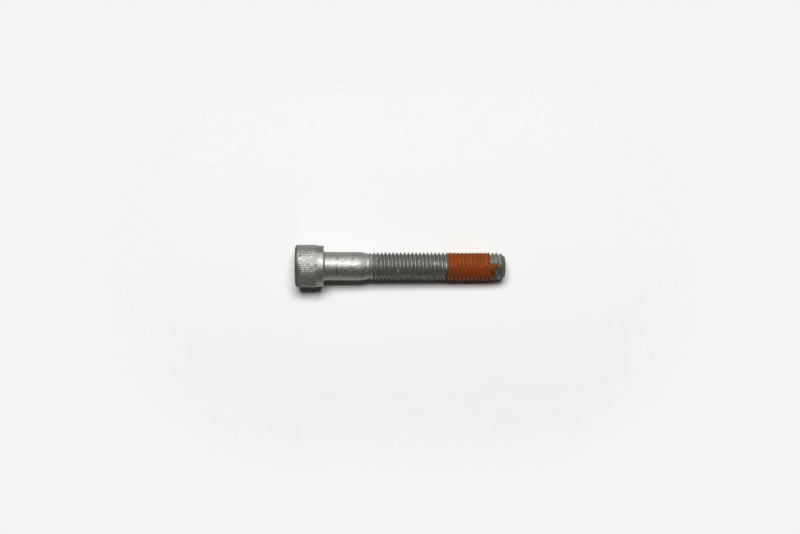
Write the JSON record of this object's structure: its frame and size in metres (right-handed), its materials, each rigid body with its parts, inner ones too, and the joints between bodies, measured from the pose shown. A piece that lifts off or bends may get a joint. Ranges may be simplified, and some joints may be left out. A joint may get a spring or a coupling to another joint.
{
  "type": "hex socket cap screw",
  "caption": "Partly threaded hex socket cap screw with a knurled cylindrical head, a plain shank, a fine thread and a band of dried thread-locking compound near its point.",
  "frame": {"origin": "centre of the head's flat top, on which the screw stands", "axes": "+Z along the screw's axis from the head's top to the point; +X through a corner of the hexagonal socket"},
  "size_m": [0.0116, 0.0116, 0.058],
  "materials": {
    "zinc_flake_steel": "matte silver-grey zinc-flake coat, a little mottled",
    "orange_compound": "matte dried orange compound"
  },
  "bodies": {
    "root": {"screw": "zinc_flake_steel", "thread_lock_patch": "orange_compound"}
  },
  "joints": []
}
